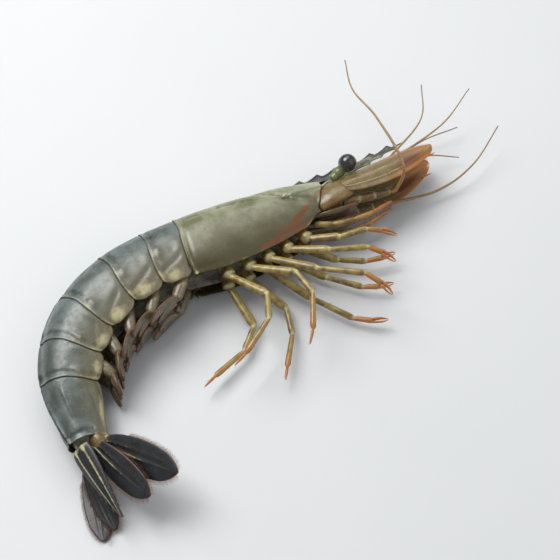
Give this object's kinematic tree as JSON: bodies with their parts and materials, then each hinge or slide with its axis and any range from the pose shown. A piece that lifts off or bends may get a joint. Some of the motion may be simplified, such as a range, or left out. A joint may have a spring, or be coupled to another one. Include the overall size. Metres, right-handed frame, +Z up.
{
  "type": "raw tiger prawn",
  "caption": "Whole raw tiger prawn with head, legs, whiskers and tail fan, lying on its side half curled, as display or cooking food.",
  "frame": {"origin": "middle of the bounding box, on the surface that the prawn lies on", "axes": "+X towards the head, +Y towards the back, +Z up, which is the prawn's right flank"},
  "size_m": [0.1742, 0.12, 0.026],
  "materials": {
    "carapace_shell": "wet chitin, grey-green with olive flanks",
    "abdomen_shell": "wet chitin, blue-grey with darker margins",
    "eye": "glossy black",
    "antennal_scale": "olive-cream chitin with orange tips",
    "whisker": "dull brown horn",
    "leg": "straw yellow chitin with orange ends",
    "swimmeret": "cream stalks and rust-red paddles",
    "tail_shell": "dark navy chitin with olive ribs"
  },
  "bodies": {
    "root": {"abdomen_1": "abdomen_shell", "abdomen_2": "abdomen_shell", "abdomen_3": "abdomen_shell", "abdomen_4": "abdomen_shell", "abdomen_5": "abdomen_shell", "abdomen_6": "abdomen_shell", "antenna_left": "whisker", "antenna_right": "whisker", "antennal_scale_left": "antennal_scale", "antennal_scale_right": "antennal_scale", "antennule_left": "whisker", "antennule_right": "whisker", "carapace": "carapace_shell", "eye_left": "eye", "eye_right": "eye", "jaw_leg_left": "leg", "jaw_leg_right": "leg", "leg_1_left": "leg", "leg_1_right": "leg", "leg_2_left": "leg", "leg_2_right": "leg", "leg_3_left": "leg", "leg_3_right": "leg", "leg_4_left": "leg", "leg_4_right": "leg", "leg_5_left": "leg", "leg_5_right": "leg", "swimmeret_1_left": "swimmeret", "swimmeret_1_right": "swimmeret", "swimmeret_2_left": "swimmeret", "swimmeret_2_right": "swimmeret", "swimmeret_3_left": "swimmeret", "swimmeret_3_right": "swimmeret", "swimmeret_4_left": "swimmeret", "swimmeret_4_right": "swimmeret", "swimmeret_5_left": "swimmeret", "swimmeret_5_right": "swimmeret", "telson": "tail_shell", "uropod_inner_left": "tail_shell", "uropod_inner_right": "tail_shell", "uropod_outer_left": "tail_shell", "uropod_outer_right": "tail_shell"}
  },
  "joints": []
}
